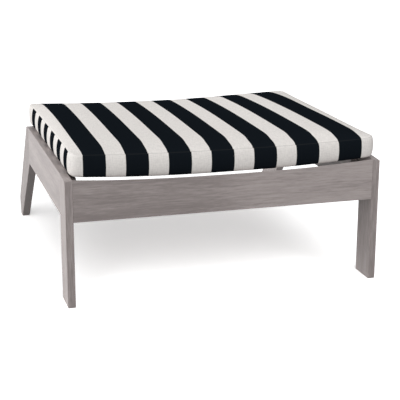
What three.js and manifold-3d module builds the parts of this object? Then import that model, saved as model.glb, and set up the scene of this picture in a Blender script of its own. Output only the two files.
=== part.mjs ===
// Outdoor ottoman footstool: a low open frame of grey boards with raked rear legs,
// dished rails and deck slats, and a loose boxed cushion with a zipped cover.
// Millimetres, +Z up. The origin is on the floor under the middle of the frame.
// The front is towards -Y.

import * as THREE from 'three';
import { mergeVertices } from 'three/addons/utils/BufferGeometryUtils.js';
import Module from 'manifold-3d';

const wasm = await Module();
wasm.setup();

// Frame: driving dimensions
const frameWidth = 800;
const frameDepth = 849;
const railTop = 317.5;
const railHeight = 104.5;
const railThickness = 22;
const arris = 0.8;

// Dish of the front rail, the rear rail and the slats, and the front rail's top, planed off
// towards the rear
const dishDepth = 12;
const dishPower = 2.5;
const dishSteps = 24;
const frontRailFall = 6.5;

// Front legs
const frontLegThickness = 19;
const frontLegDepth = 78;
const frontLegFrontDrop = 1;
const frontLegCornerDrop = 4.3;

// Rear legs, in the plane of the side rails
const sideRailLength = 525;
const rearLegTopDepth = 38;
const rearLegTopDrop = 4.8;
const rearLegShoulder = 3;
const heelHeight = 50;
const heelUndercut = 16;
const rearFootDepth = 27;

// Rear rail
const rearRailInset = 5;

// Deck: cleats along the side rails and slats across them
const slatCount = 5;
const slatWidth = 60;
const slatThickness = 16;
const slatEndGap = 0.3;
const slatSeatMargin = 2;
const firstSlatSetback = 95;
const lastSlatToRearRail = 16;
const cleatWidth = 20;
const cleatHeight = 25;
const cleatEndMargin = 6;

// Dowels
const dowelRadius = 4;
const dowelChamfer = 1;
const dowelSides = 12;
const dowelInRail = 30;
const dowelInFrontLeg = 13;
const dowelInRearLeg = 15;
const dowelInLegEdge = 28;
const dowelFromOuterFace = 10;

// Dowel heights, as shares of the rails' height
const crossDowelShares = [0.36, 0.62];
const sideDowelShares = [0.19, 0.79];

// Wood screws
const screwHeadRadius = 4;
const screwHeadDepth = 3;
const screwShankRadius = 2;
const screwTipLength = 5;
const screwSides = 10;
const slatScrewLength = 30;
const cleatScrewLength = 36;
const screwSink = 0.5;

// Clearances
const boreGap = 0.3;
const clothGap = 0.3;
const cushionGap = 0.6;
const overrun = 2;

// Cushion, loose on the deck a little to the right, with the reveals of the frame round it
const cushionShift = 6;
const cushionSideReveal = 8.5;
const cushionFrontReveal = 8.5;
const cushionOverhang = 39;
const cushionCornerRadius = 30;
const coverThickness = 1.5;
const boxingHeight = 56.5;

// Seams: set in all round, drawn in further between the corners, the lower one lifting off
// the deck towards the sides
const seamInset = 2;
const seamDrawIn = 6;
const drawInPower = 6;
const bottomSeamRise = 0.5;
const bottomSeamSag = 15.6;
const topSeamSag = 10;
const topSeamLean = 2;

// Crown of the top panel, and its fall towards the rear
const crownHeight = 15;
const crownPowerAcross = 6;
const crownPowerAlong = 12;
const rearFall = 6;
const rearFallStart = -0.2;

// Rings of the cushion, as shares of the way from its middle to its seam or up its boxing
const topRingShares = [0.975, 0.93, 0.85, 0.7, 0.5, 0.25];
const bottomRingShares = [0.35, 0.7, 0.93];
const boxingRingShares = [0, 0.2, 0.4, 0.6, 0.8, 1];
const innerTopRingShares = [0.93, 0.7, 0.25];
const innerBottomRingShares = [0.7];
const innerBoxingRingShares = [0, 0.4, 0.6, 1];
const cornerSegments = 4;
const sideSegments = 9;

// Zip in the rear boxing
const zipHalfLength = 240;
const zipSlotHeight = 6;
const zipHeightShare = 0.525;
const zipRibHeight = 3;
const zipRibProud = 0.6;
const sliderLength = 12;
const sliderHeight = 8;
const sliderThickness = 3;
const sliderTaper = 1.5;
const sliderStart = 6;

// Places derived from the sizes above
const front = -frameDepth / 2;
const rear = frameDepth / 2;
const outer = frameWidth / 2;
const railBottom = railTop - railHeight;
const frontLegInner = outer - frontLegThickness;
const sideInner = outer - railThickness;
const sideRailFront = front + frontLegDepth;
const sideRailRear = sideRailFront + sideRailLength;
const rearRailFront = sideRailRear + rearRailInset;
const slatHalf = sideInner - slatEndGap;
const slatSeat = sideInner - cleatWidth - slatSeatMargin;
const deckFront = front + firstSlatSetback;
const deckRear = rearRailFront - lastSlatToRearRail;
const slatPitch = (deckRear - deckFront - slatWidth) / (slatCount - 1);
const cleatTop = dish(slatSeat) - slatThickness;
const cushionHalfX = outer - cushionSideReveal;
const cushionFront = front + cushionFrontReveal;
const cushionRear = sideRailRear + rearLegTopDepth + cushionOverhang;
const cushionHalfY = (cushionRear - cushionFront) / 2;
const cushionMiddleY = (cushionRear + cushionFront) / 2;
const seamHalfX = cushionHalfX - seamInset;
const seamHalfY = cushionHalfY - seamInset;
const bottomSeam = dish(0) + cushionGap + bottomSeamRise;
const topSeam = bottomSeam + boxingHeight;
const zipHeight = bottomSeam + zipHeightShare * (boxingHeight - rearFall);

// Finishes
const greyWood = new THREE.MeshStandardMaterial({ color: 0x9c9290, roughness: 0.65, metalness: 0 });
const dowelWood = new THREE.MeshStandardMaterial({ color: 0xc8ab7f, roughness: 0.7, metalness: 0 });
const stripedCloth = new THREE.MeshStandardMaterial({ color: 0xdedad6, roughness: 0.9, metalness: 0 });
const foam = new THREE.MeshStandardMaterial({ color: 0xe9e4d2, roughness: 1, metalness: 0 });
const zipPlastic = new THREE.MeshStandardMaterial({ color: 0x1b1f22, roughness: 0.5, metalness: 0 });
const steel = new THREE.MeshStandardMaterial({ color: 0xb4b6b8, roughness: 0.35, metalness: 1 });

// Height of the dished top edge at a place x across the frame
function dish(x) {
  return railTop - dishDepth * (1 - Math.pow(Math.abs(x) / frontLegInner, dishPower));
}

// A geometry with shared vertices and no empty faces
function merge(geometry) {
  const plain = geometry.clone();
  plain.deleteAttribute('normal');
  plain.deleteAttribute('uv');
  const merged = mergeVertices(plain);
  const corners = Array.from(merged.index.array);
  const kept = [];
  for (let i = 0; i < corners.length; i += 3) {
    const [a, b, c] = corners.slice(i, i + 3);
    if (a !== b && b !== c && c !== a) {
      kept.push(a, b, c);
    }
  }
  merged.setIndex(kept);
  return merged;
}

// A closed mesh as a solid, and back
function toSolid(geometry) {
  const merged = merge(geometry);
  const vertProperties = new Float32Array(merged.attributes.position.array);
  const triVerts = new Uint32Array(merged.index.array);
  return new wasm.Manifold(new wasm.Mesh({ numProp: 3, vertProperties, triVerts }));
}

function toGeometry(solid) {
  const mesh = solid.getMesh();
  const geometry = new THREE.BufferGeometry();
  geometry.setAttribute('position', new THREE.BufferAttribute(mesh.vertProperties, 3));
  geometry.setIndex(new THREE.BufferAttribute(mesh.triVerts, 1));
  return geometry;
}

function cut(geometry, cutters) {
  let solid = toSolid(geometry);
  for (const cutter of cutters) {
    solid = solid.subtract(toSolid(cutter));
  }
  return toGeometry(solid);
}

// A board: an outline with eased edges, given its thickness
function board(points, thickness) {
  const shape = new THREE.Shape(points.map(([u, v]) => new THREE.Vector2(u, v)));
  const options = {
    depth: thickness - 2 * arris,
    bevelEnabled: true,
    bevelThickness: arris,
    bevelSize: arris,
    bevelOffset: -arris,
    bevelSegments: 1,
  };
  const geometry = new THREE.ExtrudeGeometry(shape, options);
  geometry.translate(0, 0, arris);
  return geometry;
}

// A shape's outline turned from (x, y) to (y, z), with its depth along x
function turnSideways(geometry) {
  const axes = new THREE.Matrix4().makeBasis(
    new THREE.Vector3(0, 1, 0), new THREE.Vector3(0, 0, 1), new THREE.Vector3(1, 0, 0));
  geometry.applyMatrix4(axes);
  return geometry;
}

// A board drawn in the side view, its outline in (y, z), standing from x to x + thickness
function sideBoard(points, x, thickness) {
  const geometry = turnSideways(board(points, thickness));
  geometry.translate(x, 0, 0);
  return geometry;
}

// A sharp-edged strip along x at the height of the zip, its outline in (y, z) from there,
// and its start in x from the cushion's middle
function zipStrip(points, x, length) {
  const shape = new THREE.Shape(points.map(([u, v]) => new THREE.Vector2(u, v)));
  const geometry = turnSideways(new THREE.ExtrudeGeometry(shape, { depth: length, bevelEnabled: false }));
  geometry.translate(cushionShift + x, 0, zipHeight);
  return geometry;
}

// A board drawn in the front view, its outline in (x, z), standing from y to y + thickness
function crossBoard(points, y, thickness) {
  const geometry = board(points, thickness);
  geometry.rotateX(Math.PI / 2);
  geometry.translate(0, y + thickness, 0);
  return geometry;
}

// Points along a dished edge from one end to the other, lowered by a drop
function dishedEdge(half, drop) {
  const points = [];
  for (let i = 0; i <= dishSteps; i += 1) {
    const x = half * (2 * i / dishSteps - 1);
    points.push([x, dish(x) - drop]);
  }
  return points;
}

// A turned solid along an axis, from a profile of [radius, distance along the axis]
function turned(profile, sides, start, axis) {
  const points = profile.map(([radius, along]) => new THREE.Vector2(radius, along));
  const geometry = merge(new THREE.LatheGeometry(points, sides));
  const turn = new THREE.Quaternion().setFromUnitVectors(new THREE.Vector3(0, 1, 0), axis);
  geometry.applyQuaternion(turn);
  geometry.translate(start.x, start.y, start.z);
  return geometry;
}

// Dowels and their bores
const dowelJoints = [];

function addDowel(name, middle, axis, back, forward) {
  dowelJoints.push({ name, middle, axis, back, forward });
}

function dowelShape({ middle, axis, back, forward }, gap) {
  const length = back + forward - 2 * gap;
  const start = middle.clone().addScaledVector(axis, gap - back);
  const profile = [
    [0, 0],
    [dowelRadius - dowelChamfer, 0],
    [dowelRadius, dowelChamfer],
    [dowelRadius, length - dowelChamfer],
    [dowelRadius - dowelChamfer, length],
    [0, length],
  ];
  return turned(profile, dowelSides, start, axis);
}

function dowelBore({ middle, axis, back, forward }) {
  const start = middle.clone().addScaledVector(axis, -back);
  const radius = dowelRadius + boreGap;
  const length = back + forward;
  return turned([[0, 0], [radius, 0], [radius, length], [0, length]], dowelSides, start, axis);
}

// Countersunk screws and their bores
function screwShape(start, axis, length) {
  const profile = [
    [0, 0],
    [screwHeadRadius, 0],
    [screwShankRadius, screwHeadDepth],
    [screwShankRadius, length - screwTipLength],
    [0, length],
  ];
  return turned(profile, screwSides, start, axis);
}

function screwBore(start, axis, length) {
  const headRadius = screwHeadRadius + boreGap;
  const shankRadius = screwShankRadius + boreGap;
  const mouth = start.clone().addScaledVector(axis, -overrun);
  const profile = [
    [0, 0],
    [headRadius, 0],
    [headRadius, overrun],
    [shankRadius, overrun + screwHeadDepth],
    [shankRadius, overrun + length + boreGap],
    [0, overrun + length + boreGap],
  ];
  return turned(profile, screwSides, mouth, axis);
}

// Where the dowels of both sides stand
const alongX = new THREE.Vector3(1, 0, 0);
const alongY = new THREE.Vector3(0, 1, 0);
const down = new THREE.Vector3(0, 0, -1);

for (const [side, sign] of [['left', -1], ['right', 1]]) {
  const outward = alongX.clone().multiplyScalar(sign);
  crossDowelShares.forEach((share, i) => {
    const z = railBottom + railHeight * share;
    const frontMiddle = new THREE.Vector3(sign * frontLegInner, front + railThickness / 2, z);
    const rearMiddle = new THREE.Vector3(sign * sideInner, rearRailFront + railThickness / 2, z);
    addDowel(`front_rail_dowel_${side}_${i + 1}`, frontMiddle, outward, dowelInRail, dowelInFrontLeg);
    addDowel(`rear_rail_dowel_${side}_${i + 1}`, rearMiddle, outward, dowelInRail, dowelInRearLeg);
  });
  sideDowelShares.forEach((share, i) => {
    const z = railBottom + railHeight * share;
    const x = sign * (outer - dowelFromOuterFace);
    const frontMiddle = new THREE.Vector3(x, sideRailFront, z);
    const rearMiddle = new THREE.Vector3(x, sideRailRear, z);
    addDowel(`side_rail_front_dowel_${side}_${i + 1}`, frontMiddle, alongY, dowelInLegEdge, dowelInRail);
    addDowel(`side_rail_rear_dowel_${side}_${i + 1}`, rearMiddle, alongY, dowelInRail, dowelInLegEdge);
  });
}

function boresFor(prefixes, side) {
  const fits = ({ name }) => prefixes.some((prefix) => name.startsWith(prefix))
    && (side === null || name.includes(side));
  return dowelJoints.filter(fits).map(dowelBore);
}

// Where the screws stand: one at each end of each slat, one in each gap of each cleat
const screws = [];

function slatFront(index) {
  return deckFront + index * slatPitch;
}

for (const [side, sign] of [['left', -1], ['right', 1]]) {
  for (let i = 0; i < slatCount; i += 1) {
    const x = sideInner - cleatWidth / 2;
    const start = new THREE.Vector3(sign * x, slatFront(i) + slatWidth / 2, dish(x) - screwSink);
    const name = `slat_screw_${side}_${i + 1}`;
    screws.push({ name, start, axis: down, length: slatScrewLength, side, slat: i });
  }
  for (let i = 0; i < slatCount - 1; i += 1) {
    const y = (slatFront(i) + slatWidth + slatFront(i + 1)) / 2;
    const x = sign * (sideInner - cleatWidth + screwSink);
    const start = new THREE.Vector3(x, y, cleatTop - cleatHeight / 2);
    const axis = alongX.clone().multiplyScalar(sign);
    screws.push({ name: `cleat_screw_${side}_${i + 1}`, start, axis, length: cleatScrewLength, side });
  }
}

function screwBoresFor(test) {
  return screws.filter(test).map(({ start, axis, length }) => screwBore(start, axis, length));
}

// Front leg: an upright board whose outer front corner is eased down at the top
function frontLeg(side, sign) {
  const x = sign < 0 ? -outer : frontLegInner;
  const outline = [
    [front, 0],
    [sideRailFront, 0],
    [sideRailFront, railTop],
    [front, railTop - frontLegFrontDrop],
  ];
  const leg = sideBoard(outline, x, frontLegThickness);
  const rearOuter = new THREE.Vector3(sign * outer, sideRailFront, railTop);
  const frontInner = new THREE.Vector3(sign * frontLegInner, front, railTop - frontLegFrontDrop);
  const frontOuter = new THREE.Vector3(sign * outer, front, railTop - frontLegCornerDrop);
  const across = frontInner.clone().sub(frontOuter);
  const along = rearOuter.clone().sub(frontOuter);
  const normal = across.cross(along).normalize();
  if (normal.z < 0) {
    normal.negate();
  }
  const block = new THREE.BoxGeometry(frameWidth, frameWidth, frontLegDepth);
  block.translate(0, 0, frontLegDepth / 2);
  block.applyQuaternion(new THREE.Quaternion().setFromUnitVectors(new THREE.Vector3(0, 0, 1), normal));
  block.translate(frontOuter.x, frontOuter.y, frontOuter.z);
  const bores = boresFor(['front_rail_dowel', 'side_rail_front_dowel'], side);
  return cut(leg, [block, ...bores]);
}

// Rear leg: a raked, tapered board in line with the side rail
function rearLeg(side, sign) {
  const x = sign < 0 ? -outer : sideInner;
  const outline = [
    [sideRailRear, railBottom - rearLegShoulder],
    [rear - heelUndercut - rearFootDepth, 0],
    [rear - heelUndercut, 0],
    [rear, heelHeight],
    [sideRailRear + rearLegTopDepth, railTop - rearLegTopDrop],
    [sideRailRear, railTop],
  ];
  const leg = sideBoard(outline, x, railThickness);
  return cut(leg, boresFor(['rear_rail_dowel', 'side_rail_rear_dowel'], side));
}

// Side rail: a level board between the front leg and the rear leg
function sideRail(side, sign) {
  const x = sign < 0 ? -outer : sideInner;
  const outline = [
    [sideRailFront, railBottom],
    [sideRailRear, railBottom],
    [sideRailRear, railTop],
    [sideRailFront, railTop],
  ];
  const rail = sideBoard(outline, x, railThickness);
  const bores = boresFor(['side_rail'], side);
  const screwBores = screwBoresFor((screw) => screw.slat === undefined && screw.side === side);
  return cut(rail, [...bores, ...screwBores]);
}

// Front and rear rails: boards with a dished top edge, which may fall towards the rear
function dishedRail(half, y, fall, prefix) {
  const outline = [[half, railBottom], ...dishedEdge(half, 0).reverse(), [-half, railBottom]];
  const rail = crossBoard(outline, y, railThickness);
  const corners = rail.attributes.position;
  for (let i = 0; i < corners.count; i += 1) {
    if (corners.getZ(i) > railBottom + railHeight / 2) {
      const drop = fall * (corners.getY(i) - y) / railThickness;
      corners.setZ(i, corners.getZ(i) - drop);
    }
  }
  return cut(rail, boresFor([prefix], null));
}

// Cleat: a straight batten under the slat ends, screwed to the side rail
function cleat(side, sign) {
  const x = sign < 0 ? -sideInner : sideInner - cleatWidth;
  const outline = [
    [sideRailFront + cleatEndMargin, cleatTop - cleatHeight],
    [sideRailRear - cleatEndMargin, cleatTop - cleatHeight],
    [sideRailRear - cleatEndMargin, cleatTop],
    [sideRailFront + cleatEndMargin, cleatTop],
  ];
  const batten = sideBoard(outline, x, cleatWidth);
  return cut(batten, screwBoresFor((screw) => screw.side === side));
}

// Slat: sawn to the dish, with a level seat at each end
function slat(index) {
  const underside = dishedEdge(slatSeat, slatThickness);
  const outline = [
    ...dishedEdge(slatHalf, 0).reverse(),
    [-slatHalf, cleatTop],
    ...underside,
    [slatHalf, cleatTop],
  ];
  const blank = crossBoard(outline, slatFront(index), slatWidth);
  return cut(blank, screwBoresFor((screw) => screw.slat === index));
}

// Plan outline of the cushion: a rectangle with round corners
function planOutline(halfX, halfY, radius) {
  const corners = [[1, -1, -90], [1, 1, 0], [-1, 1, 90], [-1, -1, 180]];
  const points = [];
  corners.forEach(([signX, signY, startAngle], index) => {
    const arc = [];
    for (let i = 0; i <= cornerSegments; i += 1) {
      const angle = THREE.MathUtils.degToRad(startAngle + 90 * i / cornerSegments);
      const x = signX * (halfX - radius) + radius * Math.cos(angle);
      const y = signY * (halfY - radius) + radius * Math.sin(angle);
      arc.push([x, y]);
    }
    points.push(...arc);
    const [nextX, nextY, nextAngle] = corners[(index + 1) % corners.length];
    const angle = THREE.MathUtils.degToRad(nextAngle);
    const endX = nextX * (halfX - radius) + radius * Math.cos(angle);
    const endY = nextY * (halfY - radius) + radius * Math.sin(angle);
    const [startX, startY] = arc[cornerSegments];
    for (let i = 1; i < sideSegments; i += 1) {
      const part = i / sideSegments;
      points.push([startX + (endX - startX) * part, startY + (endY - startY) * part]);
    }
  });
  return points;
}

// Heights of the cushion, with x and y from its middle: the underside lies in the dish, both
// seams rise towards the sides, and the top panel rises from its seam to a crown
function sidewaysRise(x) {
  return Math.pow(Math.abs(x) / seamHalfX, dishPower);
}

function undersideHeight(x) {
  return dish(x + cushionShift) + cushionGap;
}

function lowerSeamHeight(x) {
  return bottomSeam + bottomSeamSag * sidewaysRise(x);
}

function topHeight(x, y, offset) {
  const shareX = Math.min(1, Math.abs(x) / (seamHalfX - offset));
  const shareY = Math.min(1, Math.abs(y) / (seamHalfY - offset));
  const crownAcross = 1 - Math.pow(shareX, crownPowerAcross);
  const crownAlong = 1 - Math.pow(shareY, crownPowerAlong);
  const towardsRear = Math.max(0, (y / seamHalfY - rearFallStart) / (1 - rearFallStart));
  const seam = topSeam + topSeamSag * sidewaysRise(x) - topSeamLean * x / seamHalfX;
  return seam + crownHeight * crownAcross * crownAlong - rearFall * Math.pow(towardsRear, 2) - offset;
}

// One ring of the boxing at a share of its height: it bulges outwards between the two
// seams, and the seams are drawn in between the corners
function boxingRing(share, offset) {
  const bow = Math.pow(2 * share - 1, 2);
  const halfX = cushionHalfX - seamInset * bow;
  const halfY = cushionHalfY - seamInset * bow;
  return planOutline(halfX - offset, halfY - offset, cushionCornerRadius - offset).map(([x, y]) => {
    const drawX = seamDrawIn * bow * (1 - Math.pow(y / halfY, drawInPower));
    const drawY = seamDrawIn * bow * (1 - Math.pow(x / halfX, drawInPower));
    const low = lowerSeamHeight(x) + offset;
    const high = topHeight(x, y, offset);
    return [x * (1 - drawX / halfX), y * (1 - drawY / halfY), low + (high - low) * share];
  });
}

// Rings scaled in from a seam ring, each point dropped on the surface inside the seam
function innerRings(seamRing, shares, height) {
  return shares.map((share) => seamRing.map(([x, y]) => {
    const innerX = x * share;
    const innerY = y * share;
    return [innerX, innerY, height(innerX, innerY)];
  }));
}

// A closed skin through rings, with a middle point at the bottom and at the top
function ringSkin(bottomPoint, rings, topPoint) {
  const count = rings[0].length;
  const vertices = [bottomPoint, ...rings.flat(), topPoint];
  const top = vertices.length - 1;
  const at = (ring, i) => 1 + ring * count + (i % count);
  const faces = [];
  for (let i = 0; i < count; i += 1) {
    faces.push(0, at(0, i + 1), at(0, i));
    for (let ring = 0; ring < rings.length - 1; ring += 1) {
      faces.push(at(ring, i), at(ring, i + 1), at(ring + 1, i + 1));
      faces.push(at(ring, i), at(ring + 1, i + 1), at(ring + 1, i));
    }
    faces.push(top, at(rings.length - 1, i), at(rings.length - 1, i + 1));
  }
  const geometry = new THREE.BufferGeometry();
  geometry.setAttribute('position', new THREE.Float32BufferAttribute(vertices.flat(), 3));
  geometry.setIndex(faces);
  geometry.translate(cushionShift, cushionMiddleY, 0);
  return geometry;
}

// The cushion's body at an offset inside its outer face
function cushionBody(offset, bottomShares, boxingShares, topShares) {
  const boxing = boxingShares.map((share) => boxingRing(share, offset));
  const underside = (x) => undersideHeight(x) + offset;
  const topside = (x, y) => topHeight(x, y, offset);
  const below = innerRings(boxing[0], bottomShares, underside);
  const above = innerRings(boxing[boxing.length - 1], topShares, topside);
  const rings = [...below, ...boxing, ...above];
  return ringSkin([0, 0, underside(0)], rings, [0, 0, topside(0, 0)]);
}

// The cushion's inside with fewer rings, at an offset inside its outer face
function cushionInside(offset) {
  return cushionBody(offset, innerBottomRingShares, innerBoxingRingShares, innerTopRingShares);
}

// Cover: one sewn skin, open along the zip slot in its rear boxing
function cushionCover() {
  const skin = cushionBody(0, bottomRingShares, boxingRingShares, topRingShares);
  const slot = new THREE.BoxGeometry(2 * zipHalfLength, 4 * coverThickness, zipSlotHeight);
  slot.translate(cushionShift, cushionRear, zipHeight);
  return cut(skin, [cushionInside(coverThickness), slot]);
}

// Zip: a tape that fills the slot, with its rib of coils standing proud outside
function zipTape() {
  const half = zipSlotHeight / 2 - clothGap;
  const back = cushionRear - coverThickness;
  const face = cushionRear - clothGap;
  const rib = zipRibHeight / 2;
  const outline = [
    [back, -half],
    [face, -half],
    [face, -rib],
    [face + zipRibProud, -rib],
    [face + zipRibProud, rib],
    [face, rib],
    [face, half],
    [back, half],
  ];
  const halfLength = zipHalfLength - clothGap;
  return zipStrip(outline, -halfLength, 2 * halfLength);
}

// Slider: a low tapered shoe that runs on the rib
function zipSlider() {
  const face = cushionRear + zipRibProud;
  const half = sliderHeight / 2;
  const outline = [
    [face, -half],
    [face + sliderThickness - sliderTaper, -half],
    [face + sliderThickness, -half + sliderTaper],
    [face + sliderThickness, half - sliderTaper],
    [face + sliderThickness - sliderTaper, half],
    [face, half],
  ];
  return zipStrip(outline, sliderStart - zipHalfLength, sliderLength);
}

// Assembly
const ottoman = new THREE.Group();

function add(name, geometry, material) {
  const mesh = new THREE.Mesh(geometry, material);
  mesh.name = name;
  ottoman.add(mesh);
}

for (const [side, sign] of [['left', -1], ['right', 1]]) {
  add(`front_leg_${side}`, frontLeg(side, sign), greyWood);
  add(`rear_leg_${side}`, rearLeg(side, sign), greyWood);
  add(`side_rail_${side}`, sideRail(side, sign), greyWood);
  add(`cleat_${side}`, cleat(side, sign), greyWood);
}
add('front_rail', dishedRail(frontLegInner, front, frontRailFall, 'front_rail_dowel'), greyWood);
add('rear_rail', dishedRail(sideInner, rearRailFront, 0, 'rear_rail_dowel'), greyWood);
for (let i = 0; i < slatCount; i += 1) {
  add(`slat_${i + 1}`, slat(i), greyWood);
}
for (const joint of dowelJoints) {
  add(joint.name, dowelShape(joint, boreGap), dowelWood);
}
for (const { name, start, axis, length } of screws) {
  add(name, screwShape(start, axis, length), steel);
}
add('cushion_cover', cushionCover(), stripedCloth);
add('foam_core', cushionInside(coverThickness + clothGap), foam);
add('zip_tape', zipTape(), zipPlastic);
add('zip_slider', zipSlider(), steel);

export default ottoman;
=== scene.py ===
"""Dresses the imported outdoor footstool: grey boards, their fastenings and a striped box cushion."""

import logging
import math
from dataclasses import dataclass
from enum import Enum

import bmesh
import bpy
from mathutils import Matrix, Vector


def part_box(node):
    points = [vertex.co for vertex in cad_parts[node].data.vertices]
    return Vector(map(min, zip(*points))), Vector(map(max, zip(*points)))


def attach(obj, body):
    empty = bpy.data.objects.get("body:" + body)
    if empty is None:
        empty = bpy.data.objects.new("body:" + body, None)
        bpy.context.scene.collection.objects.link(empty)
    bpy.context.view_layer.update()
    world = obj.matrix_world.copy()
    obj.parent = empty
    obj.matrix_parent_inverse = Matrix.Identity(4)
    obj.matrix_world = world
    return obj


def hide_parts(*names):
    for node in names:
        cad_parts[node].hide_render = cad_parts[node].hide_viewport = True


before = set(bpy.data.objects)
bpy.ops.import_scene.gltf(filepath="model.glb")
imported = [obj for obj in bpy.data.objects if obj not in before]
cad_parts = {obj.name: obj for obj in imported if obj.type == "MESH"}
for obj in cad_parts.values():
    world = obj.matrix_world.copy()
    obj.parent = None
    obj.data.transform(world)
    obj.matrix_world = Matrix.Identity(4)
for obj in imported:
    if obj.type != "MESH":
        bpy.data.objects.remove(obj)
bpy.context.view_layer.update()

log = logging.getLogger("footstool")

Colour = tuple[float, float, float]
Place = tuple[float, float, float]
Pair = tuple[float, float]

# A coordinate past the first is at the edge of a blank, a direction past the second runs along an
# axis, and a normal past the third looks to the rear
AT_EDGE = 0.999
LINED_UP = 0.99
TO_REAR = 0.5


@dataclass(frozen=True)
class Pattern:
    """Smooth noise: its periods in a metre, and the number and strength of its finer layers."""

    scale: Place | float
    layers: float
    strength: float = 0.5


class Socket:
    """An output of a shader node that takes arithmetic like the number or vector it carries."""

    def __init__(self, tree: "ShaderTree", output: bpy.types.NodeSocket) -> None:
        """Keeps the tree and the output."""
        self.tree = tree
        self.output = output

    def _apply(self, operation: str, first: object, second: object) -> "Socket":
        """Adds the maths node for an expression.

        Args:
            operation: The operation's name, the same for numbers and vectors.
            first: Left value or socket.
            second: Right value or socket.

        Returns:
            The node's output.
        """
        def is_number(value: object) -> bool:
            """Whether a value is a plain number or carries one."""
            kind = value.output.type if isinstance(value, Socket) else type(value)
            return kind in ("VALUE", int, float)

        if is_number(first) and is_number(second):
            return self.tree.node("ShaderNodeMath", {"operation": operation}, {0: first, 1: second})
        first, second = ((v,) * 3 if isinstance(v, (int, float)) else v for v in (first, second))
        return self.tree.node("ShaderNodeVectorMath", {"operation": operation}, {0: first, 1: second})

    def __add__(self, other: object) -> "Socket":
        """This plus other."""
        return self._apply("ADD", self, other)

    def __radd__(self, other: object) -> "Socket":
        """Other plus this."""
        return self._apply("ADD", other, self)

    def __sub__(self, other: object) -> "Socket":
        """This minus other."""
        return self._apply("SUBTRACT", self, other)

    def __rsub__(self, other: object) -> "Socket":
        """Other minus this."""
        return self._apply("SUBTRACT", other, self)

    def __mul__(self, other: object) -> "Socket":
        """This times other."""
        return self._apply("MULTIPLY", self, other)

    def __rmul__(self, other: object) -> "Socket":
        """Other times this."""
        return self._apply("MULTIPLY", other, self)

    def around(self, middle: float, swing: float) -> "Socket":
        """This value from 0 to 1, made to swing about a middle."""
        return middle + (self - 0.5) * swing


class ShaderTree:
    """The node tree of a material or of the world, emptied and built from scratch."""

    def __init__(self, tree: bpy.types.NodeTree) -> None:
        """Empties the tree."""
        self.tree = tree
        tree.nodes.clear()

    def node(self, kind: str, settings: dict | None = None, values: dict | None = None,
             output: int | str = 0) -> Socket:
        """Adds one node.

        Args:
            kind: The node's type.
            settings: Its properties, set before its sockets.
            values: A value or a Socket for each of its inputs, by name or number.
            output: The output to return.

        Returns:
            The chosen output.
        """
        node = self.tree.nodes.new(kind)
        for name, setting in (settings or {}).items():
            setattr(node, name, setting)
        for key, value in (values or {}).items():
            if isinstance(value, Socket):
                self.tree.links.new(value.output, node.inputs[key])
            else:
                node.inputs[key].default_value = value
        return Socket(self, node.outputs[output]) if node.outputs else Socket(self, None)

    def place(self) -> Socket:
        """The place on the object, in metres."""
        return self.node("ShaderNodeTexCoord", output="Object")

    def part(self, vector: Socket, axis: str) -> Socket:
        """The part of a vector along X, Y or Z."""
        return self.node("ShaderNodeSeparateXYZ", {}, {"Vector": vector}, axis)

    def maths(self, operation: str, *values: object) -> Socket:
        """The result of a maths operation on one or two numbers."""
        return self.node("ShaderNodeMath", {"operation": operation}, dict(enumerate(values)))

    def noise(self, place: Socket, pattern: Pattern, output: int | str = 0) -> Socket:
        """Smooth noise, read at a place in metres."""
        return self.node("ShaderNodeTexNoise", {}, {
            "Vector": place * pattern.scale, "Scale": 1.0, "Detail": pattern.layers,
            "Roughness": pattern.strength}, output)

    def ease(self, value: Socket, low: float, high: float) -> Socket:
        """A smooth step from 0 at low to 1 at high."""
        return self.node("ShaderNodeMapRange", {"interpolation_type": "SMOOTHSTEP"},
                         {"Value": value, "From Min": low, "From Max": high})

    def blend(self, factor: object, first: object, second: object) -> Socket:
        """Mixes two colours."""
        first, second = ((*v, 1.0) if isinstance(v, tuple) else v for v in (first, second))
        # A Mix node has its colours at inputs 6 and 7, and their mix at output 2
        return self.node("ShaderNodeMix", {"data_type": "RGBA"}, {0: factor, 6: first, 7: second}, 2)

    def bump(self, height: Socket, distance: float, strength: float) -> Socket:
        """A normal raised by a height from 0 to 1 over a distance in metres."""
        return self.node("ShaderNodeBump", {},
                         {"Height": height, "Distance": distance, "Strength": strength})

    def finish(self, colour: object, roughness: object, normal: Socket, constants: dict) -> None:
        """Joins the tree's results to a Principled surface.

        Args:
            colour: Base colour.
            roughness: Roughness.
            normal: Normal.
            constants: Plain values for other sockets.
        """
        shader = self.node("ShaderNodeBsdfPrincipled", {}, {"Base Color": colour, "Roughness": roughness,
                                                            "Normal": normal, **constants})
        self.node("ShaderNodeOutputMaterial", {}, {"Surface": shader})


def new_material(name: str) -> tuple[bpy.types.Material, ShaderTree]:
    """Starts a material with an empty tree.

    Args:
        name: The material's name.

    Returns:
        The material and its tree.
    """
    material = bpy.data.materials.new(name)
    material.use_nodes = True
    return material, ShaderTree(material.node_tree)


def eased(value: float) -> float:
    """A smooth step from 0 at 0 to 1 at 1."""
    value = min(1.0, max(0.0, value))
    return value * value * (3 - 2 * value)


def placed(name: str, form: bmesh.types.BMesh, material: bpy.types.Material) -> bpy.types.Object:
    """Puts a finished form into the scene as a piece.

    Args:
        name: The piece's name.
        form: Its form, which is freed.
        material: Its finish.

    Returns:
        The piece.
    """
    mesh = bpy.data.meshes.new(name)
    form.to_mesh(mesh)
    form.free()
    mesh.materials.append(material)
    piece = bpy.data.objects.new(name, mesh)
    bpy.context.scene.collection.objects.link(piece)
    return piece


class Grain(Enum):
    """The way a board's grain runs."""

    ACROSS = (1.0, 0.0, 0.0)
    ALONG = (0.0, 1.0, 0.0)
    UPRIGHT = (0.0, 0.0, 1.0)
    RAKED = (0.0, 0.655, -0.755)


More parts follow.
